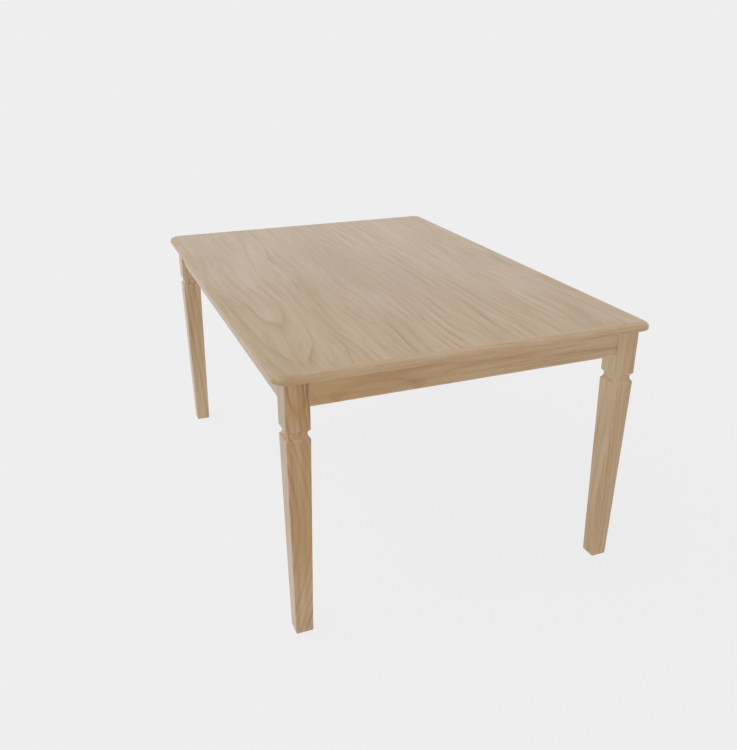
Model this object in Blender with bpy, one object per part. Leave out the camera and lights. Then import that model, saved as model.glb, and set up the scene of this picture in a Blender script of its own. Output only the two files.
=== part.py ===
"""Dolls' house dining table in one-inch scale (1:12): a wooden top on a frame of four legs and four aprons.

Frame: metres, +Z up. The origin is on the floor under the middle of the top. X runs across the table,
Y runs along it, the front end is at -Y and the left side at -X.

The legs stand at the corners. An apron runs between each pair of neighbours, held at each end by a round
dowel, half in the leg and half in the apron. A notched block is glued into each corner of the frame, and
the top is glued down on the legs, the aprons and the blocks. Nothing moves.
"""

import math

import bmesh
import bpy
from mathutils import Vector

MM = 0.001

# Overall sizes
TABLE_LENGTH = 127.0 * MM  # the top, along Y: 60 in at full size
TABLE_WIDTH = 88.9 * MM  # the top, along X: 42 in at full size
TABLE_HEIGHT = 63.5 * MM  # floor to the top surface: 30 in at full size

# Top
TOP_THICKNESS = 1.7 * MM
TOP_CORNER_RADIUS = 3.2 * MM  # seen from above
TOP_EDGE_WIDTH = 2.0 * MM  # the upper edge is a quarter of an ellipse; the lower edge stays square
TOP_EDGE_HEIGHT = 1.2 * MM
TOP_OVERHANG = 2.3 * MM  # past the outer faces of the legs

# Legs
LEG_SIZE = 5.3 * MM  # square block at the top
FOOT_SIZE = 3.95 * MM  # square at the floor
LEG_ARRIS = 0.15 * MM  # radius of the softened corners
COLLAR_BELOW_APRON = 4.8 * MM  # square part of the block that shows below the aprons
GROOVE_HEIGHT = 2.1 * MM  # cut round the leg between the block and the taper
GROOVE_DEPTH = 0.54 * MM

# Aprons
APRON_DEPTH = 6.4 * MM  # underside of the top to the apron's lower edge
APRON_THICKNESS = 2.1 * MM
APRON_SETBACK = 0.6 * MM  # behind the outer faces of the legs
APRON_ARRIS = 0.12 * MM  # flat taken off the two lower edges

# Corner blocks
BLOCK_REACH = 9.0 * MM  # along each apron, from the corner where they would meet
BLOCK_HEIGHT = 4.4 * MM
BLOCK_BLUNT = 0.8 * MM  # width left at each sharp end

# Dowels
DOWEL_DIAMETER = 0.8 * MM
DOWEL_IN_APRON = 3.0 * MM
DOWEL_CHAMFER = 0.12 * MM
WALL_BETWEEN_HOLES = 0.4 * MM  # wood left inside a leg between its two dowel holes

# Fit
GLUE_GAP = 0.3 * MM  # between any two glued faces, and round and beyond each dowel

# Roundness: straight pieces that stand for a quarter round, for the groove or for a whole circle
TOP_CORNER_STEPS = 8
TOP_EDGE_STEPS = 6
ARRIS_STEPS = 2
GROOVE_STEPS = 8
DOWEL_SIDES = 16

# Places that follow from the sizes
UNDERSIDE = TABLE_HEIGHT - TOP_THICKNESS
FRAME_TOP = UNDERSIDE - GLUE_GAP
APRON_BOTTOM = UNDERSIDE - APRON_DEPTH
GROOVE_TOP = APRON_BOTTOM - COLLAR_BELOW_APRON
GROOVE_BOTTOM = GROOVE_TOP - GROOVE_HEIGHT
FRAME_OUTER = Vector((TABLE_WIDTH / 2 - TOP_OVERHANG, TABLE_LENGTH / 2 - TOP_OVERHANG))
LEG_CENTRE = FRAME_OUTER - Vector((LEG_SIZE, LEG_SIZE)) / 2
LEG_INNER = FRAME_OUTER - Vector((LEG_SIZE, LEG_SIZE))
APRON_MIDDLE = FRAME_OUTER - Vector((1, 1)) * (APRON_SETBACK + APRON_THICKNESS / 2)
APRON_INNER = APRON_MIDDLE - Vector((1, 1)) * APRON_THICKNESS / 2
APRON_LENGTH = 2 * (LEG_INNER - Vector((GLUE_GAP, GLUE_GAP)))
DOWEL_HEIGHT = (FRAME_TOP + APRON_BOTTOM) / 2
HOLE_RADIUS = DOWEL_DIAMETER / 2 + GLUE_GAP
# A dowel hole in a leg stops short of the hole that crosses in front of it.
HOLE_IN_LEG = LEG_SIZE - APRON_SETBACK - APRON_THICKNESS / 2 - HOLE_RADIUS - WALL_BETWEEN_HOLES
HOLE_IN_APRON = DOWEL_IN_APRON + GLUE_GAP

# Each corner and side of the table, by name and by the signs of its X and Y
CORNERS = {
    "front_left": (-1, -1),
    "front_right": (1, -1),
    "back_left": (-1, 1),
    "back_right": (1, 1),
}
SIDES = {"front": (0, -1), "back": (0, 1), "left": (-1, 0), "right": (1, 0)}

# Unfinished pale ash, a little darker where the end grain and the edges show
TOP_COLOUR = "C9B499"
LEG_COLOUR = "C4A98A"
APRON_COLOUR = "C0A483"
BLOCK_COLOUR = "CDB592"
DOWEL_COLOUR = "D3BD9B"
SANDED_ROUGHNESS = 0.6


def linear_rgba(hex_colour):
    """An sRGB hex colour as the linear red, green, blue and alpha that a shader takes."""
    channels = [int(hex_colour[i : i + 2], 16) / 255 for i in (0, 2, 4)]
    linear = [c / 12.92 if c <= 0.04045 else ((c + 0.055) / 1.055) ** 2.4 for c in channels]
    return (*linear, 1.0)


def wood(name, hex_colour):
    material = bpy.data.materials.new(name)
    material.use_nodes = True
    shader = material.node_tree.nodes["Principled BSDF"]
    shader.inputs["Base Color"].default_value = linear_rgba(hex_colour)
    shader.inputs["Roughness"].default_value = SANDED_ROUGHNESS
    shader.inputs["Metallic"].default_value = 0.0
    material.diffuse_color = linear_rgba(hex_colour)
    return material


def rounded_rectangle(half, radius, height, steps):
    """Points anticlockwise round a level rectangle whose corners are arcs of steps straight pieces."""
    ring = []
    for quarter, (x, y) in enumerate(((1, 1), (-1, 1), (-1, -1), (1, -1))):
        for step in range(steps + 1):
            angle = math.radians(90) * (quarter + step / steps)
            ring.append(
                (
                    x * (half[0] - radius) + radius * math.cos(angle),
                    y * (half[1] - radius) + radius * math.sin(angle),
                    height,
                )
            )
    return ring


def circle(radius, height):
    """Points anticlockwise round a level circle."""
    angles = (math.tau * side / DOWEL_SIDES for side in range(DOWEL_SIDES))
    return [(radius * math.cos(angle), radius * math.sin(angle), height) for angle in angles]


def loft(rings):
    """A closed body through level rings with equal numbers of points, lowest first, with flat ends."""
    shape = bmesh.new()
    rows = [[shape.verts.new(point) for point in ring] for ring in rings]
    for low, high in zip(rows, rows[1:]):
        for i in range(len(low)):
            j = (i + 1) % len(low)
            shape.faces.new((low[i], low[j], high[j], high[i]))
    shape.faces.new(rows[0][::-1])
    shape.faces.new(rows[-1])
    return shape


def prism(outline, length):
    """A flat outline, anticlockwise in X and Y, made solid for half the length below it and half above."""
    return loft([[(x, y, end * length / 2) for x, y in outline] for end in (-1, 1)])


def add_object(name, shape):
    mesh = bpy.data.meshes.new(name)
    shape.to_mesh(mesh)
    shape.free()
    return bpy.data.objects.new(name, mesh)


def add_piece(name, shape, colour, location, rotation=(0, 0, 0)):
    """A piece of the table: its own object and material, placed in the frame that the empty carries."""
    piece = add_object(name, shape)
    piece.data.materials.append(wood(name + "_wood", colour))
    piece.location = location
    piece.rotation_euler = rotation
    piece.parent = bpy.data.objects["dining_table"]
    bpy.context.collection.objects.link(piece)
    return piece


def drill(piece, holes):
    """Takes every dowel hole that reaches this piece out of it."""
    cut = piece.modifiers.new("dowel_holes", "BOOLEAN")
    cut.operation = "DIFFERENCE"
    cut.solver = "EXACT"
    cut.operand_type = "COLLECTION"
    cut.collection = holes


def make_top():
    """A board with round corners: a square lower edge, then a quarter ellipse up to the flat surface."""
    half = (TABLE_WIDTH / 2, TABLE_LENGTH / 2)
    rings = [rounded_rectangle(half, TOP_CORNER_RADIUS, 0, TOP_CORNER_STEPS)]
    for step in range(TOP_EDGE_STEPS + 1):
        angle = math.radians(90) * step / TOP_EDGE_STEPS
        inset = TOP_EDGE_WIDTH * (1 - math.cos(angle))
        rings.append(
            rounded_rectangle(
                [side - inset for side in half],
                TOP_CORNER_RADIUS - inset,
                TOP_THICKNESS - TOP_EDGE_HEIGHT * (1 - math.sin(angle)),
                TOP_CORNER_STEPS,
            )
        )
    top = add_piece("tabletop", loft(rings), TOP_COLOUR, (0, 0, UNDERSIDE))
    top.data.shade_smooth()
    top.data.set_sharp_from_angle(angle=math.radians(30))


def groove_profile():
    """Half width and height of the leg up the groove, an arc through both lips and the groove's floor."""
    half_height = GROOVE_HEIGHT / 2
    radius = (half_height**2 + GROOVE_DEPTH**2) / (2 * GROOVE_DEPTH)
    reach = math.asin(half_height / radius)
    profile = []
    for step in range(GROOVE_STEPS + 1):
        angle = reach * (2 * step / GROOVE_STEPS - 1)
        cut = radius * math.cos(angle) - radius + GROOVE_DEPTH
        profile.append((LEG_SIZE / 2 - cut, GROOVE_BOTTOM + half_height + radius * math.sin(angle)))
    return profile


def make_leg(corner, signs, holes):
    """A square block over a groove, over a straight taper on all four faces to a smaller square foot."""
    taper = (LEG_SIZE - FOOT_SIZE) / 2 / GROOVE_BOTTOM
    profile = [
        (FOOT_SIZE / 2 - LEG_ARRIS, 0),
        (FOOT_SIZE / 2 + taper * LEG_ARRIS, LEG_ARRIS),
        *groove_profile(),
        (LEG_SIZE / 2, FRAME_TOP),
    ]
    rings = [rounded_rectangle((half, half), LEG_ARRIS, z, ARRIS_STEPS) for half, z in profile]
    location = (signs[0] * LEG_CENTRE.x, signs[1] * LEG_CENTRE.y, 0)
    drill(add_piece("leg_" + corner, loft(rings), LEG_COLOUR, location), holes)


def make_apron(side, signs, holes):
    """A straight board on edge between two legs, its two lower edges softened."""
    along_x = signs[0] == 0
    half = APRON_THICKNESS / 2
    bottom = APRON_BOTTOM - DOWEL_HEIGHT
    top = FRAME_TOP - DOWEL_HEIGHT
    outline = (
        (-half, bottom + APRON_ARRIS),
        (-half + APRON_ARRIS, bottom),
        (half - APRON_ARRIS, bottom),
        (half, bottom + APRON_ARRIS),
        (half, top),
        (-half, top),
    )
    board = prism(outline, APRON_LENGTH.x if along_x else APRON_LENGTH.y)
    location = (signs[0] * APRON_MIDDLE.x, signs[1] * APRON_MIDDLE.y, DOWEL_HEIGHT)
    # The outline's Y turns upright, and its length turns to lie along X or along Y.
    rotation = (math.radians(90), 0, math.radians(90 if along_x else 0))
    drill(add_piece("apron_" + side, board, APRON_COLOUR, location, rotation), holes)


def make_corner_block(corner, signs):
    """A three-sided block across a corner of the frame, notched round the leg and blunt at both ends."""
    notch = APRON_INNER.x - LEG_INNER.x + GLUE_GAP
    outline = (
        (notch, notch),
        (notch, GLUE_GAP),
        (BLOCK_REACH, GLUE_GAP),
        (BLOCK_REACH, GLUE_GAP + BLOCK_BLUNT),
        (GLUE_GAP + BLOCK_BLUNT, BLOCK_REACH),
        (GLUE_GAP, BLOCK_REACH),
        (GLUE_GAP, notch),
    )
    location = (signs[0] * APRON_INNER.x, signs[1] * APRON_INNER.y, FRAME_TOP - BLOCK_HEIGHT / 2)
    # The outline spreads from its corner towards +X and +Y, which has to face the middle of the table.
    turn = math.atan2(-signs[1], -signs[0]) - math.radians(45)
    block = prism(outline, BLOCK_HEIGHT)
    add_piece("corner_block_" + corner, block, BLOCK_COLOUR, location, (0, 0, turn))


def dowel_places():
    """Name, point on the leg's inner face and direction into the apron, for each end of each apron."""
    for side, (side_x, side_y) in SIDES.items():
        ends = ("left", "right") if side_x == 0 else ("front", "back")
        for end in ends:
            end_x, end_y = SIDES[end]
            point = Vector(
                (
                    side_x * APRON_MIDDLE.x + end_x * LEG_INNER.x,
                    side_y * APRON_MIDDLE.y + end_y * LEG_INNER.y,
                    DOWEL_HEIGHT,
                )
            )
            yield f"dowel_{side}_apron_{end}_end", point, Vector((-end_x, -end_y, 0))


def make_holes():
    """Hidden round cutters, one for each dowel, that reach into the leg and into the apron."""
    holes = bpy.data.collections.new("dowel_holes")
    for name, point, direction in dowel_places():
        ends = (-HOLE_IN_LEG, GLUE_GAP + HOLE_IN_APRON)
        cutter = add_object(name + "_hole", loft([circle(HOLE_RADIUS, end) for end in ends]))
        cutter.location = point
        cutter.rotation_euler = direction.to_track_quat("Z", "Y").to_euler()
        cutter.hide_render = True
        cutter.display_type = "WIRE"
        holes.objects.link(cutter)
    bpy.context.scene.collection.children.link(holes)
    return holes


def make_dowels():
    """Round pins with chamfered ends, each across the joint between a leg and an apron."""
    start = GLUE_GAP - HOLE_IN_LEG
    end = GLUE_GAP + DOWEL_IN_APRON
    radius = DOWEL_DIAMETER / 2
    for name, point, direction in dowel_places():
        rings = [
            circle(radius - DOWEL_CHAMFER, start),
            circle(radius, start + DOWEL_CHAMFER),
            circle(radius, end - DOWEL_CHAMFER),
            circle(radius - DOWEL_CHAMFER, end),
        ]
        rotation = direction.to_track_quat("Z", "Y").to_euler()
        dowel = add_piece(name, loft(rings), DOWEL_COLOUR, point, rotation)
        dowel.data.shade_smooth()
        dowel.data.set_sharp_from_angle(angle=math.radians(30))


def main():
    for old in list(bpy.data.objects):
        bpy.data.objects.remove(old)
    table = bpy.data.objects.new("dining_table", None)
    bpy.context.collection.objects.link(table)
    holes = make_holes()
    make_top()
    for corner, signs in CORNERS.items():
        make_leg(corner, signs, holes)
        make_corner_block(corner, signs)
    for side, signs in SIDES.items():
        make_apron(side, signs, holes)
    make_dowels()


main()
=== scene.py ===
"""The looks of a dolls' house dining table in pale ash: finished pieces, floor, light and camera.

Frame: metres, +Z up, the origin on the floor under the middle of the top. X runs across the table
and Y along it, with the front end at -Y and the left side at -X. Every piece stands for the frame's
node of the same name, closes up to its neighbours where the frame leaves a glue gap, and lies in
the frame's box.
"""

import math
from functools import partial

import bpy
import numpy as np
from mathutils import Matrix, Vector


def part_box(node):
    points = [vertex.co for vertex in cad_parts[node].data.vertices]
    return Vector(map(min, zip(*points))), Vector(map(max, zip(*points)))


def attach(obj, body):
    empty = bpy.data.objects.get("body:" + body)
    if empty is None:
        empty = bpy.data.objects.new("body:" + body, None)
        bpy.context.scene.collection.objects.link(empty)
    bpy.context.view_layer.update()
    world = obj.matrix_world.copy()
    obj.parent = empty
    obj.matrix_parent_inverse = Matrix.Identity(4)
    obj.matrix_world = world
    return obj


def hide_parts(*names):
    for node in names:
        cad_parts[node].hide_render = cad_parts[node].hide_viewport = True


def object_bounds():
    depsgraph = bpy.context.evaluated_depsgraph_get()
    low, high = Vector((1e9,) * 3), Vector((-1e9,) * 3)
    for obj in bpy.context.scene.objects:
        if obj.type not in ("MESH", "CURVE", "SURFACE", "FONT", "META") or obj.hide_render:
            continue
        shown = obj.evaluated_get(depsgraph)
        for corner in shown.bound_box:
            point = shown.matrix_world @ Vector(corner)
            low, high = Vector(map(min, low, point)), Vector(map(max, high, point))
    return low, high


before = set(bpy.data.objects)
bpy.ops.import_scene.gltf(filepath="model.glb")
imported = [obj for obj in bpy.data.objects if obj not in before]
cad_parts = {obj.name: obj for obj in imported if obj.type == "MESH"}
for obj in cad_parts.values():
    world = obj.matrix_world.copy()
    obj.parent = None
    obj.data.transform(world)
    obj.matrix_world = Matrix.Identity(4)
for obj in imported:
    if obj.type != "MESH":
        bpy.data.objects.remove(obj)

MM = 0.001
FRAME_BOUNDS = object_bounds()

# Joints: the frame leaves a gap between glued faces, and the finished pieces close it to a glue line
FRAME_GAP = 0.3 * MM
GLUE_LINE = 0.02 * MM
CLOSED_UP = FRAME_GAP - GLUE_LINE

# Top
TOP_CORNER_RADIUS = 3.2 * MM
TOP_EDGE_WIDTH = 2.0 * MM  # the upper edge is a quarter of an ellipse
TOP_EDGE_HEIGHT = 1.2 * MM
TOP_LOWER_ARRIS = 0.12 * MM
TOP_RUBBED_WIDTH = 1.4 * MM  # how far in from its edge hands rub it, above and below
LIPPING_WIDTH = 2.0 * MM  # the strip along each end of the top, whose grain runs across the table

# Legs: each is a tapered part, then a groove cut round it, then a square head that meets the aprons
FOOT_SIZE = 3.95 * MM
FOOT_CHAMFER = 0.15 * MM
FOOT_CHAMFER_SLOPE = 0.7  # its width over its height
FOOT_RUBBED_HEIGHT = 0.4 * MM
HEAD_BELOW_APRON = 4.8 * MM
GROOVE_HEIGHT = 2.1 * MM
GROOVE_DEPTH = 0.54 * MM
GROOVE_FLATNESS = 2.3  # 2 would be a plain arc, more flattens the floor of the groove
GROOVE_LIP = 0.07 * MM
GROOVE_LIP_REACH = 4 * GROOVE_LIP  # from an end of the groove to the nearest point on the flat
LEG_ARRIS = 0.15 * MM
ARRIS_WANDER = 0.05 * MM  # how far hand sanding lets that radius grow
# The waves it grows in: the length of each over 2 pi, and how far it shifts from leg to leg in radians
ARRIS_WAVES = ((3.1 * MM, 1.7), (1.3 * MM, 3.91))

# Aprons and corner blocks
APRON_ARRIS = 0.2 * MM
APRON_UPPER_ARRIS = 0.05 * MM
BLOCK_BLUNT = 0.8 * MM  # the flat at either thin end of a block
BLOCK_ARRIS = 0.12 * MM

# Dowels
DOWEL_FLUTES = 8
FLUTE_DEPTH = 0.03 * MM
DOWEL_CHAMFER = 0.12 * MM
HOLE_CLEARANCE = 0.02 * MM
HOLE_OVERRUN = 0.2 * MM  # how far a hole goes on beyond the end of its dowel

# How much hands have rubbed an edge, where 1 is as much as the arris of a leg or an apron
TOP_EDGE_RUBBING = 0.6
LEG_LIP_RUBBING = 0.8
BLOCK_RUBBING = 0.5

# Fineness of the meshes
CORNER_STEPS = 6
TOP_CORNER_STEPS = 20
TOP_ARRIS_STEPS = 4
TOP_EDGE_STEPS = 18
TOP_RINGS_BELOW = np.array([0.8, 0.3]) * MM  # rings on the flat underside, from its edge inwards
TOP_RINGS_ABOVE = np.array([0.4, 1.1]) * MM  # and on the flat upper side, from the rounding inwards
TAPER_STEPS = 40
GROOVE_STEPS = 22
GROOVE_LIP_STEPS = 4
HEAD_STEPS = 10
APRON_STEPS = 60
APRON_ARRIS_STEPS = 6
BLOCK_ARRIS_STEPS = 3
BLOCK_ARRIS_TURN = np.array([0.0, 0.35, 1.0])  # how far round the lower arris each of its rings is
DOWEL_SIDES = 48
SHOULDER = 0.12 * MM  # from a rounded corner to the last point on the flat beside it
TOP_SHOULDER = 0.4 * MM
SOFTENED_SHOULDER = 1.6  # the same for a softened corner, counted in its radii from the corner
SMOOTH_ANGLE = math.radians(32)

# Which way each corner lies from the middle of the table
CORNERS = {
    "front_left": (-1, -1),
    "front_right": (1, -1),
    "back_left": (-1, 1),
    "back_right": (1, 1),
}
# The axis that each apron runs along, 0 for X and 1 for Y, and the ends of an apron along each axis
APRON_AXIS = {"front": 0, "back": 0, "left": 1, "right": 1}
APRON_ENDS = (("left", "right"), ("front", "back"))


def box(node):
    """A node's lowest and highest corners as arrays."""
    low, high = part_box(node)
    return np.array(low), np.array(high)


def rounded_rings(half_x, half_y, radius, height, steps, shoulder=SHOULDER):
    """Level rounded rectangles, one a row, with all the points of each row anticlockwise.

    A point is the corner circle's centre plus its radius turned through the angle, and the first and
    last points of each corner slide along the straight side by the shoulder, so that the flats shade
    flat. Returns the points, and for each point of a ring 1 if it lies round a corner, else 0.
    """
    quarter = np.radians(np.linspace(0, 90, steps + 1))
    turn = np.concatenate([quarter[:1], quarter, quarter[-1:]])
    slide = np.concatenate([[-1], np.zeros(steps + 1), [1]]) * shoulder
    angle = np.concatenate([turn + math.radians(90) * n for n in range(4)])
    slide = np.tile(slide, 4)
    sign_x = np.repeat([1, -1, -1, 1], len(turn))
    sign_y = np.repeat([1, 1, -1, -1], len(turn))
    half_x, half_y, radius, height = (
        np.asarray(a, float)[:, None] for a in np.broadcast_arrays(half_x, half_y, radius, height)
    )
    x = sign_x * (half_x - radius) + radius * np.cos(angle) - slide * np.sin(angle)
    y = sign_y * (half_y - radius) + radius * np.sin(angle) + slide * np.cos(angle)
    on_corner = np.tile((turn > 0) & (turn < quarter[-1]), 4).astype(float)
    return np.stack([x, y, np.broadcast_to(height, x.shape)], axis=-1), on_corner


def softened(before, corner, after, radius, steps):
    """The short curve that takes the place of a corner, or of each corner in an array of them.

    It starts and ends its radius away along the two sides, and is the quadratic curve through those
    points that the corner pulls. One more point lies on the side beyond either end.
    """
    radius = np.asarray(radius)[..., None]
    back, ahead = (
        radius * (other - corner) / np.linalg.norm(other - corner, axis=-1, keepdims=True)
        for other in (before, after)
    )
    t = np.linspace(0, 1, steps + 1)[:, None]
    start, middle, end, lead, trail = (
        place[..., None, :]
        for place in (
            corner + back,
            corner,
            corner + ahead,
            corner + SOFTENED_SHOULDER * back,
            corner + SOFTENED_SHOULDER * ahead,
        )
    )
    curve = (1 - t) ** 2 * start + 2 * t * (1 - t) * middle + t**2 * end
    return np.concatenate([lead, curve, trail], axis=-2)


def softened_outline(corners, radii, steps):
    """A closed outline with its corners softened, and for each point 1 if it lies on one, else 0."""
    corners = np.array(corners)
    before, after = np.roll(corners, 1, axis=0), np.roll(corners, -1, axis=0)
    curves = softened(before, corners, after, np.broadcast_to(radii, len(corners)), steps)
    on_corner = np.tile([0.0, *np.ones(steps + 1), 0.0], len(corners))
    return curves.reshape(-1, 2), on_corner


def loft(rings, on_corner=0.0, on_edge=0.0):
    """A closed body: neighbouring rings joined by four-sided faces, and both ends capped flat.

    Returns points, faces and how rubbed each point is, which is the larger of on_corner for its place
    in the ring and on_edge for its ring.
    """
    rows, count = rings.shape[:2]
    index = np.arange(rows * count).reshape(rows, count)
    low, high = index[:-1], index[1:]
    sides = np.stack([low, np.roll(low, -1, 1), np.roll(high, -1, 1), high], axis=-1)
    faces = sides.reshape(-1, 4).tolist() + [index[0][::-1].tolist(), index[-1].tolist()]
    worn = np.maximum(
        np.broadcast_to(on_corner, (rows, count)),
        np.broadcast_to(np.reshape(on_edge, (-1, 1)), (rows, count)),
    )
    return rings.reshape(-1, 3), faces, worn.reshape(-1)


def link(name, data):
    """Puts a mesh, lamp or camera into the scene as an object of that name."""
    made = bpy.data.objects.new(name, data)
    bpy.context.scene.collection.objects.link(made)
    return made


def make_mesh(name, points, faces, worn):
    """A smooth mesh that keeps its sharp edges sharp, with the rubbing as a value at each point."""
    mesh = bpy.data.meshes.new(name)
    mesh.from_pydata(points.tolist(), [], faces)
    rubbed = mesh.attributes.new("worn", "FLOAT", "POINT")
    rubbed.data.foreach_set("value", worn.astype(np.float32))
    mesh.shade_smooth()
    mesh.set_sharp_from_angle(angle=SMOOTH_ANGLE)
    return link(name, mesh)


def node_of(piece):
    """The frame's node that a piece is named for."""
    return piece.name.removesuffix("_finished")


def bore(piece, cutters):
    """Takes the holes of the dowels that enter a piece out of it for good, then smooths it again."""
    low, high = box(node_of(piece))
    for dowel, cutter in cutters.items():
        dowel_low, dowel_high = box(dowel)
        if np.all(dowel_low < high) and np.all(low < dowel_high):
            cut = piece.modifiers.new(cutter.name, "BOOLEAN")
            cut.operation, cut.solver, cut.object = "DIFFERENCE", "EXACT", cutter
    bpy.context.view_layer.update()
    evaluated = piece.evaluated_get(bpy.context.evaluated_depsgraph_get())
    bored = bpy.data.meshes.new_from_object(evaluated)
    piece.modifiers.clear()
    whole, piece.data = piece.data, bored
    bpy.data.meshes.remove(whole)
    bored.name = piece.name
    bored.set_sharp_from_angle(angle=SMOOTH_ANGLE)


def finish_piece(piece, slot, *materials):
    """Puts a finished piece on the frame in place of the node that it is named for."""
    piece.data.materials.clear()
    for coat in materials:
        piece.data.materials.append(coat)
    piece.visible_diffuse = False  # it takes none of the studio's soft light from its neighbours
    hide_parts(node_of(piece))
    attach(piece, "root")


# --- Wood -----------------------------------------------------------------------------------------

# The layers of an ash board, each a noise stretched along the grain: how far one patch of it reaches
# along the grain, across the face and into the wood in mm, and the noise's detail and roughness
LAYERS = {
    "drift": ((38.0, 14.0, 14.0), 1.2, 0.5),  # the grain's own slow turns to either side
    "sway": ((70.0, 16.0, 16.0), 1.5, 0.4),  # the rings' slow wander
    "ripple": ((17.0, 3.2, 3.2), 2.0, 0.5),  # and their short waves
    "tone": ((46.0, 13.0, 13.0), 2.0, 0.5),  # paler and darker growth
    "streak": ((28.0, 1.15, 1.15), 2.5, 0.55),  # mineral streaks
    "fibre": ((5.0, 0.26, 0.26), 2.0, 0.6),  # bundles of fibres, drawn coarse enough to show
    "pore": ((1.9, 0.2, 0.2), 1.0, 0.5),  # open pores, 0.2 mm wide
    "fade": ((15.0, 3.5, 3.5), 2.0, 0.5),  # where the rings' lines come and go
    "rub": ((6.0, 2.5, 2.5), 2.0, 0.5),  # where hands have rubbed
}
# How far apart the seeds and the layers lie in the noises, so that no two pieces are alike
SEED_STEP = (13.7, 7.9, 3.1)
LAYER_STEP = (5.1, 3.3, 0.0)

# The noise at which each of these sets in, and the noise at which it is full
FADE_SPAN = (0.36, 0.62)
PORE_SPAN = (0.56, 0.66)
RUB_SPAN = (0.35, 0.7)
FIBRE_SPAN = (0.3, 0.7)

# A growth ring goes from 0, where its pale early wood starts, to 1, where its dark late wood ends
BAND_POWER = 2.4  # how late in the ring the soft dark band comes
BAND_DARKNESS = 2.5  # over the crispness
LINE_DARKNESS = 0.8
DARK_END = 0.9  # over the crispness: the last part of a ring, where the dark falls off again
EARLY_WOOD = (0.05, 0.6)  # where the pores are all open, and where most are closed
LATE_PORES = 0.15  # the share of them that stays
CURL_SOFTNESS = 0.1

# The darkness of plain wood between the lines, and how far fibres and pores change it
RESTING_SHADE = 0.36
FIBRE_STRENGTH = 0.13
PORE_STRENGTH = 0.14

# The least that an edge is rubbed, how far full rubbing turns it to the rubbed colour, and how much
# roughness it takes off
RUBBED_LEAST = 0.1
RUBBED_PALER = 0.22
RUBBED_SMOOTHER = 0.07

# Relief: its depth, how strongly it shows, and how far each thing stands out as a share of the depth
RELIEF_DEPTH = 0.03 * MM
RELIEF_STRENGTH = 0.6
PORE_RELIEF = -0.7
LATE_WOOD_RELIEF = 0.35
SAW_RELIEF = 1.5

ROUGHNESS_SPREAD = 0.05
WOOD_IOR = 1.5
LACQUER_ROUGHNESS = 0.3
SAW_MARKS = {"Scale": 0.9, "Distortion": 1.2, "Detail": 1.0}  # bands 0.35 mm apart

# Pale to dark wood, for the top, the sanded pieces, the sawn blocks and the dowels
TOP_TONES = ("B89F83", "9E7D48", "86520A")
WARM_TONES = ("C1A278", "A57D4E", "82541A")
PALE_TONES = ("C0A585", "A9865B", "825622")
SAWN = ("D6C2A0", "C4AA82", "A58558")
TURNED = ("DCC8A6", "CBB08A", "B0915F")

# Patches of other growth, and rubbed wood. The dark one is also painted shade: it darkens the top of
# the front-left leg's left face, under the edge of the table top
WARM_GROWTH = "A87E40"
PALE_GROWTH = "CDB893"
DARK_GROWTH_AND_SHADE = "947344"
RUBBED = "D8C6AA"


def linear_rgba(hex_colour):
    """An sRGB hex colour as the linear red, green, blue and alpha that a shader takes."""
    channels = [int(hex_colour[i : i + 2], 16) / 255 for i in (0, 2, 4)]
    linear = [c / 12.92 if c <= 0.04045 else ((c + 0.055) / 1.055) ** 2.4 for c in channels]
    return (*linear, 1.0)


def add_node(tree, kind, inputs=(), output=0, **settings):
    """Adds one shader node, sets it, and fills or links its inputs. Returns the output asked for."""
    made = tree.nodes.new("ShaderNode" + kind)
    for name, value in settings.items():
        setattr(made, name, value)
    for socket, value in dict(inputs).items():
        if isinstance(value, bpy.types.NodeSocket):
            tree.links.new(value, made.inputs[socket])
        else:
            made.inputs[socket].default_value = value
    return made.outputs[output]


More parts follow.
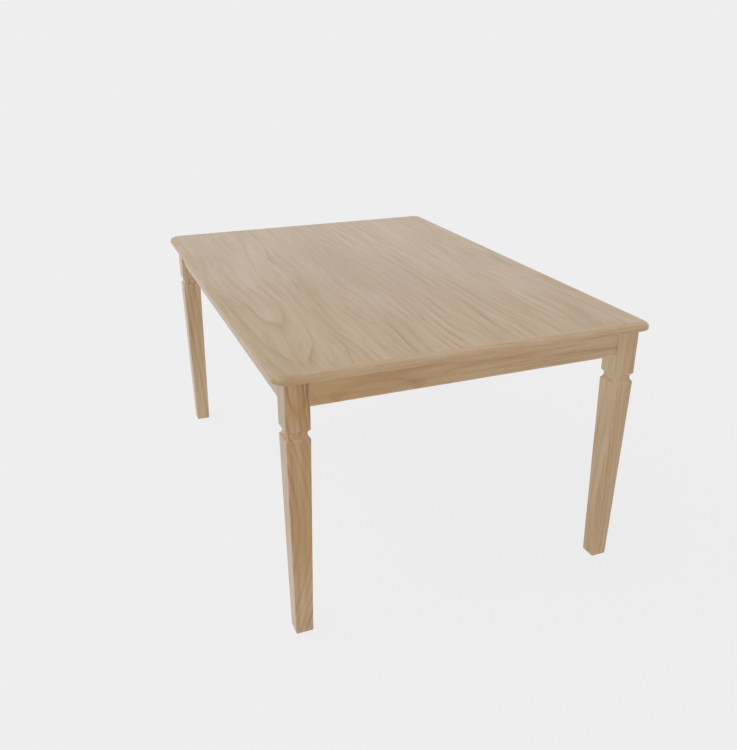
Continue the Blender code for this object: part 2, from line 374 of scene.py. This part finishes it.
def ash_wood(
    name,
    centre,
    axes,
    ring_normal,
    ring_width,
    seed,
    colours,
    bends=(),
    eyes=(),
    curls=(),
    patches=(),
    bold=(),
    drift=1.5,
    sway=0.5,
    ripple=0.16,
    ring_strength=0.3,
    crisp=5.5,
    faintest=0.25,
    faded=0.3,
    streak_strength=0.3,
    tone_strength=0.3,
    roughness=0.5,
    saw_marks=0.0,
    lacquered=False,
):
    """Pale ash. Sanded, under a thin coat of clear matt lacquer, it gives the eye long soft brown
    lines where the growth rings come through the face, finer streaks and pores along the grain, and
    a weak sheen that turns to a whitish veil at low angles. Left bare it has no veil, and as it
    comes from the saw it is rougher and keeps the saw's bands.

    All patterns are in mm from the piece's centre, as (along the grain, across the face, into the
    wood), and axes says which of X, Y and Z those are. Where and reach are a place in the pattern
    and how far it spreads each way, as a bell.

    The rings are surfaces of one smooth height: the place measured along ring_normal, plus for each
    bend (across, reach, slope) the slope times the rounded distance from that line, plus for each
    eye (where, reach, rise) a bell shaped rise, plus the noises sway and ripple. A ring ends at each
    whole number of ring widths. The line there is as narrow as crisp is high, as weak as faintest in
    some years, and comes down to faded where it fades, except in the bold places (where, reach).

    A curl (where, reach, strength) is a dark outline where a bell comes to half its height, as where
    the grain turns round a place that a branch grew from. A patch (where, reach, strength,
    patch_colour) is other growth, and on the front-left leg also painted shade under the edge of the
    table top.
    """
    material = bpy.data.materials.new(name)
    material.use_nodes = True
    tree = material.node_tree
    shader = tree.nodes["Principled BSDF"]
    # Of a Map Range's inputs, 1 and 2 are the limits that go in and 3 and 4 what they become. Of a
    # Mix's, 0 is the amount and 6 and 7 are the colours, and its output 2 is the mixed colour
    add = partial(add_node, tree)

    def bell(where, reach):
        """A rise from 0 to 1 in the middle: e to minus the squared distance, counted in reaches."""
        scale = [1 / r for r in reach]
        start = [-w * s for w, s in zip(where, scale)]
        place = add("Mapping", {"Vector": grain, "Location": start, "Scale": scale})
        squared = add("VectorMath", {0: place, 1: place}, 1, operation="DOT_PRODUCT")
        minus = add("Math", {0: squared, 1: -1.0}, operation="MULTIPLY")
        return add("Math", {0: minus}, operation="EXPONENT")

    def noise(key):
        """One of the layers, stretched along the grain as it runs by then."""
        size, detail, rough = LAYERS[key]
        number = list(LAYERS).index(key)
        shift = [seed * s + number * n for s, n in zip(SEED_STEP, LAYER_STEP)]
        scale = [1 / s for s in size]
        place = add("Mapping", {"Vector": grain, "Location": shift, "Scale": scale})
        inputs = {"Vector": place, "Scale": 1.0, "Detail": detail, "Roughness": rough}
        return add("TexNoise", inputs)

    object_place = add("TexCoord", output="Object")
    shift = [-c / MM for c in centre]
    in_mm = add("Mapping", {"Vector": object_place, "Location": shift, "Scale": (1 / MM,) * 3})
    split = add("SeparateXYZ", {0: in_mm}).node.outputs
    along, across, into = (split[axis] for axis in axes)
    grain = add("CombineXYZ", {0: along, 1: across, 2: into})

    # The grain drifts to either side, and everything else follows it
    centred = add("Math", {0: noise("drift"), 1: -0.5}, operation="ADD")
    across = add("Math", {0: centred, 1: drift, 2: across}, operation="MULTIPLY_ADD")
    grain = add("CombineXYZ", {0: along, 1: across, 2: into})

    # The height whose level surfaces are the growth rings
    height = add("VectorMath", {0: grain, 1: ring_normal}, 1, operation="DOT_PRODUCT")
    for key, reach in (("sway", sway), ("ripple", ripple)):
        height = add("Math", {0: noise(key), 1: reach, 2: height}, operation="MULTIPLY_ADD")
    for where, reach, slope in bends:
        off = add("Math", {0: across, 1: -where}, operation="ADD")
        squared = add("Math", {0: off, 1: off, 2: reach**2}, operation="MULTIPLY_ADD")
        distance = add("Math", {0: squared}, operation="SQRT")
        height = add("Math", {0: distance, 1: slope, 2: height}, operation="MULTIPLY_ADD")
    for where, reach, rise in eyes:
        swell = bell(where, reach)
        height = add("Math", {0: swell, 1: rise, 2: height}, operation="MULTIPLY_ADD")
    count = add("Math", {0: height, 1: 1 / ring_width}, operation="MULTIPLY")
    ring = add("Math", {0: count}, operation="FRACT")

    # Each ring's dark late wood: a soft band with a line at its end
    band = add("Math", {0: ring, 1: BAND_POWER}, operation="POWER")
    band = add("Math", {0: band, 1: BAND_DARKNESS / crisp}, operation="MULTIPLY")
    line = add("Math", {0: ring, 1: crisp}, operation="POWER")
    dark = add("Math", {0: line, 1: LINE_DARKNESS, 2: band}, operation="MULTIPLY_ADD")
    fall = add("MapRange", {"Value": ring, 1: 1.0, 2: 1 - DARK_END / crisp, 3: 0.0, 4: 1.0})
    dark = add("Math", {0: dark, 1: fall}, operation="MULTIPLY")

    # How strong it is there: some years are faint, and the lines come and go
    number = add("Math", {0: count}, operation="FLOOR")
    number = add("Math", {0: number, 1: seed + 0.5}, operation="ADD")
    year = add("TexWhiteNoise", {"W": number}, noise_dimensions="1D")
    share = add("MapRange", {"Value": year, 1: 0.0, 2: 1.0, 3: faintest, 4: 1.0})
    least, most = FADE_SPAN
    shown = add("MapRange", {"Value": noise("fade"), 1: least, 2: most, 3: faded, 4: 1.0})
    shown = add("Math", {0: shown, 1: share}, operation="MULTIPLY")
    for where, reach in bold:
        shown = add("Math", {0: shown, 1: bell(where, reach)}, operation="MAXIMUM")
    dark = add("Math", {0: dark, 1: shown}, operation="MULTIPLY")

    for where, reach, strength in curls:
        off = add("Math", {0: bell(where, reach), 1: -0.5}, operation="ADD")
        squared = add("Math", {0: off, 1: off}, operation="MULTIPLY")
        minus = add("Math", {0: squared, 1: -1 / CURL_SOFTNESS**2}, operation="MULTIPLY")
        outline = add("Math", {0: minus}, operation="EXPONENT")
        dark = add("Math", {0: outline, 1: strength, 2: dark}, operation="MULTIPLY_ADD")

    # Pores open mostly in the pale early wood, just after a dark line
    least, most = EARLY_WOOD
    early = add("MapRange", {"Value": ring, 1: least, 2: most, 3: 1.0, 4: LATE_PORES})
    least, most = PORE_SPAN
    pore = add("MapRange", {"Value": noise("pore"), 1: least, 2: most, 3: 0.0, 4: 1.0})
    pore = add("Math", {0: pore, 1: early}, operation="MULTIPLY")

    # All of it added up as one darkness from 0 to 1
    fibre = noise("fibre")
    shade = add("Math", {0: dark, 1: ring_strength, 2: RESTING_SHADE}, operation="MULTIPLY_ADD")
    for source, strength in (
        (noise("streak"), streak_strength),
        (noise("tone"), tone_strength),
        (fibre, FIBRE_STRENGTH),
    ):
        centred = add("Math", {0: source, 1: -0.5}, operation="ADD")
        shade = add("Math", {0: centred, 1: strength * 2, 2: shade}, operation="MULTIPLY_ADD")
    shade = add("Math", {0: pore, 1: PORE_STRENGTH, 2: shade}, operation="MULTIPLY_ADD")
    if saw_marks:
        inputs = {"Vector": grain, **SAW_MARKS}
        marks = add("TexWave", inputs, 1, wave_type="BANDS", bands_direction="X")
        shade = add("Math", {0: marks, 1: saw_marks, 2: shade}, operation="MULTIPLY_ADD")

    ramp = add("ValToRGB", {0: shade}).node
    stops = ramp.color_ramp.elements
    while len(stops) < len(colours):
        stops.new(0.5)
    for i, (stop, tone) in enumerate(zip(stops, colours)):
        stop.position = i / (len(colours) - 1)
        stop.color = linear_rgba(tone)
    colour = ramp.outputs[0]
    # Patches of other growth, and on the front-left leg a patch of painted shade
    for where, reach, strength, patch_colour in patches:
        amount = add("Math", {0: bell(where, reach), 1: strength}, operation="MULTIPLY")
        inputs = {0: amount, 6: colour, 7: linear_rgba(patch_colour)}
        colour = add("Mix", inputs, 2, data_type="RGBA")

    # Rubbed edges: a little paler and smoother, in patches
    worn = add("Attribute", output="Fac", attribute_name="worn")
    least, most = RUB_SPAN
    patch = add("MapRange", {"Value": noise("rub"), 1: least, 2: most, 3: RUBBED_LEAST, 4: 1.0})
    worn = add("Math", {0: worn, 1: patch}, operation="MULTIPLY")
    amount = add("Math", {0: worn, 1: RUBBED_PALER}, operation="MULTIPLY")
    inputs = {0: amount, 6: colour, 7: linear_rgba(RUBBED)}
    colour = add("Mix", inputs, 2, data_type="RGBA")
    tree.links.new(colour, shader.inputs["Base Color"])

    least, most = FIBRE_SPAN
    smooth, rough = roughness - ROUGHNESS_SPREAD, roughness + ROUGHNESS_SPREAD
    rough = add("MapRange", {"Value": fibre, 1: least, 2: most, 3: smooth, 4: rough})
    rough = add("Math", {0: worn, 1: -RUBBED_SMOOTHER, 2: rough}, operation="MULTIPLY_ADD")
    tree.links.new(rough, shader.inputs["Roughness"])

    # Relief: pores sink, and the hard dark wood stands a little proud after sanding
    relief = add("Math", {0: pore, 1: PORE_RELIEF, 2: fibre}, operation="MULTIPLY_ADD")
    relief = add("Math", {0: dark, 1: LATE_WOOD_RELIEF, 2: relief}, operation="MULTIPLY_ADD")
    if saw_marks:
        relief = add("Math", {0: marks, 1: SAW_RELIEF, 2: relief}, operation="MULTIPLY_ADD")
    inputs = {"Height": relief, "Distance": RELIEF_DEPTH, "Strength": RELIEF_STRENGTH}
    tree.links.new(add("Bump", inputs), shader.inputs["Normal"])

    shader.inputs["IOR"].default_value = WOOD_IOR
    if lacquered:
        shader.inputs["Coat Weight"].default_value = 1.0
        shader.inputs["Coat Roughness"].default_value = LACQUER_ROUGHNESS
    return material


# --- Pieces ---------------------------------------------------------------------------------------


def make_top():
    """The board: level rounded rectangles stacked up the edge, inset by the lower arris, then by the
    ellipse's width times one less the cosine, while the height follows its sine."""
    low, high = box("tabletop")
    half = (high - low)[:2] / 2
    arris = np.radians(np.linspace(0, 90, TOP_ARRIS_STEPS + 1))
    edge = np.radians(np.linspace(0, 90, TOP_EDGE_STEPS + 1))
    inset = np.concatenate(
        [
            TOP_RINGS_BELOW,
            TOP_LOWER_ARRIS * (1 - np.sin(arris)),
            TOP_EDGE_WIDTH * (1 - np.cos(edge)),
            TOP_EDGE_WIDTH + TOP_RINGS_ABOVE,
        ]
    )
    height = np.concatenate(
        [
            np.full(len(TOP_RINGS_BELOW), low[2]),
            low[2] + TOP_LOWER_ARRIS * (1 - np.cos(arris)),
            high[2] - TOP_EDGE_HEIGHT * (1 - np.sin(edge)),
            np.full(len(TOP_RINGS_ABOVE), high[2]),
        ]
    )
    rubbed = (inset > 0) & (inset < TOP_RUBBED_WIDTH)
    rings, _ = rounded_rings(
        half[0] - inset,
        half[1] - inset,
        TOP_CORNER_RADIUS - inset,
        height,
        TOP_CORNER_STEPS,
        TOP_SHOULDER,
    )
    return make_mesh("tabletop_finished", *loft(rings, on_edge=rubbed * TOP_EDGE_RUBBING))


def set_lipping(top):
    """Gives the second material to the faces of the lipping along both ends: those nearer to an end
    than the lipping is wide, and nearer to it than to a side, which mitres it at the corners."""
    _, high = box("tabletop")
    count = len(top.data.polygons)
    middle = np.empty(count * 3)
    top.data.polygons.foreach_get("center", middle)
    x, y, _ = np.abs(middle.reshape(-1, 3)).T
    from_end, from_side = high[1] - y, high[0] - x
    lipping = (from_end < LIPPING_WIDTH) & (from_end < from_side)
    top.data.polygons.foreach_set("material_index", lipping.astype(np.int32))
    top.data.update()


def leg_profile(size, groove_bottom, groove_top, top):
    """Half width, height and rubbing up a leg: a chamfered foot, a straight taper, a groove whose
    depth is one less the height from its middle to the power of its flatness, and a square head,
    with softened lips. The rubbing is a bell over each lip and over the foot."""
    half, foot = size / 2, FOOT_SIZE / 2
    sole = np.array([[foot - FOOT_CHAMFER_SLOPE * FOOT_CHAMFER, 0.0]])
    z = np.linspace(FOOT_CHAMFER, groove_bottom - GROOVE_LIP_REACH, TAPER_STEPS)
    taper = np.stack([foot + (half - foot) * z / groove_bottom, z], axis=-1)
    t = np.linspace(-1, 1, GROOVE_STEPS + 1)
    middle, reach = (groove_bottom + groove_top) / 2, (groove_top - groove_bottom) / 2
    sunk = GROOVE_DEPTH * (1 - np.abs(t) ** GROOVE_FLATNESS)
    groove = np.stack([half - sunk, middle + reach * t], axis=-1)
    z = np.linspace(groove_top + 2 * GROOVE_LIP_REACH, top, HEAD_STEPS)
    z = np.concatenate([[groove_top + GROOVE_LIP_REACH], z])
    head = np.stack([np.full(len(z), half), z], axis=-1)
    lower_lip = softened(taper[-1], groove[0], groove[2], GROOVE_LIP, GROOVE_LIP_STEPS)
    upper_lip = softened(groove[-3], groove[-1], head[0], GROOVE_LIP, GROOVE_LIP_STEPS)
    profile = np.concatenate([sole, taper, lower_lip, groove[2:-2], upper_lip, head])
    half_width, z = profile.T
    lip_places = (z - np.array([[groove_bottom], [groove_top]])) / (GROOVE_LIP_REACH / 2)
    lips = np.exp(-(lip_places**2)).sum(axis=0)
    rubbing = np.maximum(np.clip(lips, 0, 1), np.exp(-((z / FOOT_RUBBED_HEIGHT) ** 2)))
    return half_width, z, rubbing * LEG_LIP_RUBBING


def make_leg(corner, number):
    """A square leg: rounded squares stacked up the profile, whose corner radius wanders as a mean of
    two slow waves, since the arrises are broken by hand."""
    low, high = box("leg_" + corner)
    apron_low, _ = box("apron_front")
    groove_top = apron_low[2] - HEAD_BELOW_APRON
    half, z, rubbing = leg_profile(
        high[0] - low[0], groove_top - GROOVE_HEIGHT, groove_top, high[2] + CLOSED_UP
    )
    waves = [np.sin(z / length + shift * number) for length, shift in ARRIS_WAVES]
    radius = LEG_ARRIS + ARRIS_WANDER * (1 + np.mean(waves, axis=0)) / 2
    rings, on_corner = rounded_rings(half, half, radius, z, CORNER_STEPS)
    rings[:, :, :2] += (low[:2] + high[:2]) / 2
    return make_mesh(f"leg_{corner}_finished", *loft(rings, on_corner, rubbing))


def make_apron(side):
    """A board on edge, from leg to leg: one outline with softened edges carried along its length."""
    low, high = box("apron_" + side)
    along = APRON_AXIS[side]
    across = 1 - along
    top = high[2] + CLOSED_UP
    outline, on_corner = softened_outline(
        [(low[across], low[2]), (high[across], low[2]), (high[across], top), (low[across], top)],
        [APRON_ARRIS, APRON_ARRIS, APRON_UPPER_ARRIS, APRON_UPPER_ARRIS],
        APRON_ARRIS_STEPS,
    )
    length = np.linspace(low[along] - CLOSED_UP, high[along] + CLOSED_UP, APRON_STEPS)
    if along == 1:  # its outline turns the other way round, so it is carried backwards
        length = length[::-1]
    rings = np.empty((len(length), len(outline), 3))
    rings[:, :, along] = length[:, None]
    rings[:, :, across] = outline[:, 0]
    rings[:, :, 2] = outline[:, 1]
    return make_mesh(f"apron_{side}_finished", *loft(rings, on_corner))


def make_block(corner):
    """A three-sided block glued across a corner of the frame: its outline from above, notched round
    the leg's inner corner, with its sawn corners just broken, carried straight up. At the bottom it
    shrinks towards its middle as the arris turns through a quarter of a circle."""
    low, high = box("corner_block_" + corner)
    leg_low, leg_high = box("leg_" + corner)
    sign = np.array(CORNERS[corner], float)
    # Measured from the corner where two aprons' inner faces meet, towards the middle of the table
    outer = np.where(sign < 0, low[:2], high[:2]) + sign * CLOSED_UP
    inner = np.where(sign < 0, high[:2], low[:2])
    leg_face = np.where(sign < 0, leg_high[:2], leg_low[:2])
    reach = np.abs(inner - outer)
    notch = np.abs(leg_face - outer) + GLUE_LINE
    outline, on_corner = softened_outline(
        [
            (notch[0], notch[1]),
            (notch[0], 0),
            (reach[0], 0),
            (reach[0], BLOCK_BLUNT),
            (BLOCK_BLUNT, reach[1]),
            (0, reach[1]),
            (0, notch[1]),
        ],
        BLOCK_ARRIS,
        BLOCK_ARRIS_STEPS,
    )
    turn = math.radians(90) * BLOCK_ARRIS_TURN
    inset = np.append(BLOCK_ARRIS * (1 - np.sin(turn)), 0)
    height = np.append(low[2] + BLOCK_ARRIS * (1 - np.cos(turn)), high[2] + CLOSED_UP)
    middle = outline.mean(axis=0)
    shrink = 1 - inset[:, None, None] / (np.linalg.norm(reach) / 2)
    plan = outer - sign * (middle + (outline - middle) * shrink)
    height = np.broadcast_to(height[:, None, None], (*plan.shape[:2], 1))
    rings = np.concatenate([plan, height], axis=-1)
    if sign[0] * sign[1] < 0:  # mirrored an odd number of times
        rings, on_corner = rings[:, ::-1], on_corner[::-1]
    return make_mesh(f"corner_block_{corner}_finished", *loft(rings, on_corner * BLOCK_RUBBING))


def round_bar(name, middle, along, start, end, radius, chamfer=0.0, flute=0.0):
    """A level bar from start to end of one axis: circles whose radius sinks by the flute's depth
    times the positive part of a cosine that repeats once a flute, and by the chamfer at both ends."""
    angle = np.linspace(0, 2 * math.pi, DOWEL_SIDES, endpoint=False)
    groove = flute * np.clip(np.cos(DOWEL_FLUTES * angle), 0, 1)
    steps = np.array([0, 1, 2]) if chamfer else np.array([0])
    station = np.concatenate([start + steps * chamfer, end - steps[::-1] * chamfer])
    at_end = np.concatenate([steps == 0, steps[::-1] == 0])
    size = (radius - chamfer * at_end)[:, None] - groove
    across, up = (along + 1) % 3, (along + 2) % 3
    rings = np.empty((len(station), DOWEL_SIDES, 3))
    rings[:, :, along] = station[:, None]
    rings[:, :, across] = middle[across] + size * np.cos(angle)
    rings[:, :, up] = middle[up] + size * np.sin(angle)
    return make_mesh(name, *loft(rings))


def make_dowel(node):
    """A fluted pin across a joint, and the plain cutter for its hole in the leg and in the apron."""
    low, high = box(node)
    along = int(np.argmax(high - low))
    start, end = low[along], high[along]
    middle = (low + high) / 2
    radius = (high - low)[(along + 1) % 3] / 2
    pin = round_bar(
        node + "_finished", middle, along, start, end, radius, DOWEL_CHAMFER, FLUTE_DEPTH
    )
    cutter = round_bar(
        node + "_hole",
        middle,
        along,
        start - HOLE_OVERRUN,
        end + HOLE_OVERRUN,
        radius + HOLE_CLEARANCE,
    )
    return pin, cutter


# --- The table ------------------------------------------------------------------------------------

# Which of X, Y and Z run along the grain, across the face and into the wood
TOP_AXES = (1, 0, 2)
LIPPING_AXES = (0, 2, 1)
LEG_AXES = (2, 0, 1)
APRON_AXES = ((0, 2, 1), (1, 2, 0))  # for an apron along axis 0 and along axis 1, and its dowels
BLOCK_AXES = (0, 1, 2)

TOP_SURFACE = FRAME_BOUNDS[1][2]
TOP_PATTERN_DEPTH = 0.8 * MM  # how far below the surface the middle of the top's pattern lies
BLOCK_SEED = 20
DOWEL_SEED = 30

# The top: a flat-sawn board. Its rings rise to a crest along the left side, where they come out as
# nested arches that point to the front, and dip towards the right edge, where they make another set
# and two curls. The lipping's pattern is measured from the middle of the top
top = make_top()
finish_piece(
    top,
    "top_wood",
    ash_wood(
        "sanded_ash_top",
        (0, 0, TOP_SURFACE - TOP_PATTERN_DEPTH),
        TOP_AXES,
        ring_normal=(0.0079, 0.2, 1.0),
        ring_width=0.45,
        seed=1,
        colours=TOP_TONES,
        bends=((-35.5, 5.0, -0.2), (43.0, 6.0, 0.2)),
        eyes=(((-63.5, -35.5, 0.0), (16.0, 12.0, 50.0), -0.45),),
        curls=(
            ((-1.5, 45.0, 0.0), (12.0, 7.5, 50.0), 0.2),
            ((-29.0, 45.5, 0.0), (10.0, 6.5, 50.0), 0.2),
        ),
        patches=(
            ((-28.0, 42.0, 0.0), (5.0, 2.6, 50.0), 0.35, WARM_GROWTH),
            ((6.0, -2.0, 0.0), (30.0, 16.0, 50.0), 0.4, DARK_GROWTH_AND_SHADE),
            ((-36.0, -33.0, 0.0), (22.0, 9.0, 50.0), 0.16, PALE_GROWTH),
        ),
        bold=(((-28.0, -36.0, 0.0), (34.0, 9.0, 50.0)),),
        drift=6.0,
        sway=0.7,
        ripple=0.26,
        ring_strength=0.95,
        crisp=10.0,
        faintest=0.1,
        faded=0.15,
        streak_strength=0.4,
        tone_strength=0.26,
        lacquered=True,
    ),
    ash_wood(
        "sanded_ash_lipping",
        (0, 0, TOP_SURFACE),
        LIPPING_AXES,
        ring_normal=(0.012, 0.9, 0.35),
        ring_width=0.8,
        seed=12,
        colours=PALE_TONES,
        eyes=(((20.0, 0.0, 0.0), (14.0, 100.0, 300.0), 1.2),),
        patches=(((-42.0, 0.0, -63.5), (5.0, 20.0, 5.0), 0.5, DARK_GROWTH_AND_SHADE),),
        sway=1.2,
        ripple=0.35,
        ring_strength=0.6,
        faintest=0.3,
        streak_strength=0.2,
        tone_strength=0.16,
        lacquered=True,
    ),
)
set_lipping(top)

# The dowels, and the cutter for the holes of each by its node
holes = {}
for side, axis in APRON_AXIS.items():
    for end in APRON_ENDS[axis]:
        node = f"dowel_{side}_apron_{end}_end"
        dowel, holes[node] = make_dowel(node)
        finish_piece(
            dowel,
            "dowel_wood",
            ash_wood(
                "turned_" + node,
                sum(box(node)) / 2,
                APRON_AXES[axis],
                ring_normal=(0.02, 0.8, 0.6),
                ring_width=0.5,
                seed=DOWEL_SEED + len(holes),
                colours=TURNED,
            ),
        )

# Each leg is cut from its own place in the plank, so the rings cross it at their own slant
LEG_CUTS = {
    "front_left": dict(
        ring_normal=(0.0, 0.82, 0.5),
        seed=2,
        colours=WARM_TONES,
        ring_strength=1.2,
        eyes=(
            ((-3.0, 0.0, 0.0), (30.0, 100.0, 100.0), -7.4),
            ((31.0, 0.2, -2.6), (7.0, 2.2, 6.0), -1.5),
        ),
        curls=(((31.0, 0.1, -2.6), (8.5, 2.5, 6.0), 0.28),),
        patches=(
            ((24.0, 0.1, -2.6), (2.6, 2.2, 4.0), 0.7, WARM_GROWTH),
            # painted shade: a darker bell high on the leg's left face, where the edge of the top
            # shades it
            ((24.0, -2.65, 0.5), (7.0, 0.6, 20.0), 0.4, DARK_GROWTH_AND_SHADE),
            ((-4.0, 0.8, -2.6), (10.0, 3.0, 4.0), 0.6, WARM_GROWTH),
            ((-25.0, 0.8, -2.6), (8.0, 2.6, 4.0), 0.25, PALE_GROWTH),
        ),
    ),
    "front_right": dict(
        ring_normal=(0.02, 0.9, 0.42),
        seed=3,
        colours=PALE_TONES,
        ring_strength=0.65,
        eyes=(((-10.0, 0.0, 0.0), (34.0, 100.0, 100.0), -1.6),),
        patches=(
            ((-26.0, -2.6, 0.0), (9.0, 2.0, 20.0), 0.4, WARM_GROWTH),
            ((18.0, -2.6, 0.0), (12.0, 2.0, 20.0), 0.3, PALE_GROWTH),
        ),
    ),
    "back_left": dict(
        ring_normal=(0.05, 0.7, -0.6),
        seed=4,
        colours=PALE_TONES,
        ring_strength=0.75,
        patches=(((-24.0, 0.0, 0.0), (9.0, 20.0, 20.0), 0.2, PALE_GROWTH),),
    ),
    "back_right": dict(
        ring_normal=(-0.06, 0.8, -0.5),
        seed=5,
        colours=PALE_TONES,
        ring_strength=0.8,
    ),
}
for number, corner in enumerate(CORNERS):
    leg = make_leg(corner, number)
    bore(leg, holes)
    finish_piece(
        leg,
        "leg_wood",
        ash_wood(
            "sanded_ash_leg_" + corner,
            sum(box("leg_" + corner)) / 2,
            LEG_AXES,
            ring_width=1.1,
            sway=1.8,
            ripple=0.6,
            faintest=0.15,
            faded=0.45,
            streak_strength=0.42,
            tone_strength=0.22,
            lacquered=True,
            **LEG_CUTS[corner],
        ),
    )
    finish_piece(
        make_block(corner),
        "block_wood",
        ash_wood(
            "sawn_ash_block_" + corner,
            sum(box("corner_block_" + corner)) / 2,
            BLOCK_AXES,
            ring_normal=(0.05, 0.5, 0.85),
            ring_width=0.8,
            seed=BLOCK_SEED + number,
            colours=SAWN,
            roughness=0.72,
            saw_marks=0.1,
        ),
    )

APRON_CUTS = {
    "front": dict(
        seed=6,
        eyes=(
            ((-22.0, -2.8, 0.0), (14.0, 3.0, 20.0), 6.0),
            ((24.0, 0.6, 0.0), (20.0, 2.2, 20.0), -0.5),
        ),
        curls=(((-22.0, -2.8, 0.0), (11.0, 3.9, 20.0), 0.45),),
        patches=(((-37.0, 0.0, 0.0), (22.0, 20.0, 20.0), 0.6, WARM_GROWTH),),
    ),
    "back": dict(seed=7, eyes=(((10.0, 0.6, 0.0), (12.0, 2.0, 20.0), 1.0),)),
    "left": dict(seed=8, eyes=(((-15.0, 0.2, 0.0), (16.0, 2.0, 20.0), -1.0),)),
    "right": dict(seed=9),
}
for side, axis in APRON_AXIS.items():
    apron = make_apron(side)
    bore(apron, holes)
    finish_piece(
        apron,
        "apron_wood",
        ash_wood(
            "sanded_ash_apron_" + side,
            sum(box("apron_" + side)) / 2,
            APRON_AXES[axis],
            ring_normal=(0.01, 0.75, 0.66),
            ring_width=1.1,
            colours=PALE_TONES,
            sway=1.6,
            ripple=0.5,
            ring_strength=0.5,
            faintest=0.3,
            streak_strength=0.4,
            tone_strength=0.26,
            lacquered=True,
            **APRON_CUTS[side],
        ),
    )

for cutter in holes.values():
    bpy.data.meshes.remove(cutter.data)

# --- Floor, light and camera ----------------------------------------------------------------------

# A wide pale sheet lit from behind as well as from above, so that the table's shadow stays faint.
# Its rings give a radius and a height in metres
STUDIO_WHITE = "EEEEEE"
FLOOR_RINGS = ((40.0, -0.01), (40.0, 0.0), (5.0, 0.0), (1.0, 0.0))
FLOOR_SIDES = 256
FLOOR_GLOW = 0.72  # the share of the floor's brightness that comes through it
FLOOR_ROUGHNESS = 0.9

# One large soft lamp: its azimuth from the front towards the right, its elevation and its apparent
# size in degrees, and its strength
LAMP_AZIMUTH = -110.0
LAMP_ELEVATION = 50.0
LAMP_SIZE = 70.0
LAMP_STRENGTH = 0.6

VIEW_AZIMUTH = -21.689
VIEW_ELEVATION = 23.008
VIEW_DISTANCE = 200.0 * MM
VIEW_ANGLE = 50.0
NEAREST_SEEN = 10.0 * MM
AIM = np.array([-11.328, -28.109, 45.448]) * MM  # the point that the camera looks at


def make_floor():
    """A level disc with a slight thickness, its points at equal angles round the table."""
    angle = np.linspace(0, 2 * math.pi, FLOOR_SIDES, endpoint=False)
    radius, z = np.array(FLOOR_RINGS).T[:, :, None]
    x, y = radius * np.cos(angle), radius * np.sin(angle)
    points, faces, _ = loft(np.stack([x, y, np.broadcast_to(z, x.shape)], axis=-1))
    mesh = bpy.data.meshes.new("floor")
    mesh.from_pydata(points.tolist(), [], faces)
    material = bpy.data.materials.new("backlit_acrylic_floor")
    material.use_nodes = True
    shader = material.node_tree.nodes["Principled BSDF"]
    white = linear_rgba(STUDIO_WHITE)
    # Out of the studio's light and the lamp's, its own colour gives back what the glow leaves short
    from_lamp = LAMP_STRENGTH * math.sin(math.radians(LAMP_ELEVATION)) / math.pi
    tint = [c * (1 - FLOOR_GLOW) / (c + from_lamp) for c in white[:3]]
    shader.inputs["Base Color"].default_value = (*tint, 1.0)
    shader.inputs["Roughness"].default_value = FLOOR_ROUGHNESS
    shader.inputs["Specular IOR Level"].default_value = 0.0
    shader.inputs["Emission Color"].default_value = white
    shader.inputs["Emission Strength"].default_value = FLOOR_GLOW
    mesh.materials.append(material)
    return link("floor", mesh)


make_floor()

world = bpy.data.worlds.new("studio")
world.use_nodes = True
world.node_tree.nodes["Background"].inputs["Color"].default_value = linear_rgba(STUDIO_WHITE)
bpy.context.scene.world = world
bpy.context.scene.view_settings.view_transform = "Standard"

lamp = bpy.data.lights.new("key", "SUN")
lamp.energy = LAMP_STRENGTH
lamp.angle = math.radians(LAMP_SIZE)
lamp_turn = (math.radians(90 - LAMP_ELEVATION), 0, math.radians(LAMP_AZIMUTH))
link("key", lamp).rotation_euler = lamp_turn

view = bpy.data.cameras.new("camera")
view.angle = math.radians(VIEW_ANGLE)
view.clip_start = NEAREST_SEEN
camera = link("camera", view)
azimuth, elevation = math.radians(VIEW_AZIMUTH), math.radians(VIEW_ELEVATION)
out = math.cos(elevation)
towards = np.array([math.sin(azimuth) * out, -math.cos(azimuth) * out, math.sin(elevation)])
camera.location = AIM + VIEW_DISTANCE * towards
camera.rotation_euler = (math.radians(90) - elevation, 0, azimuth)
bpy.context.scene.camera = camera
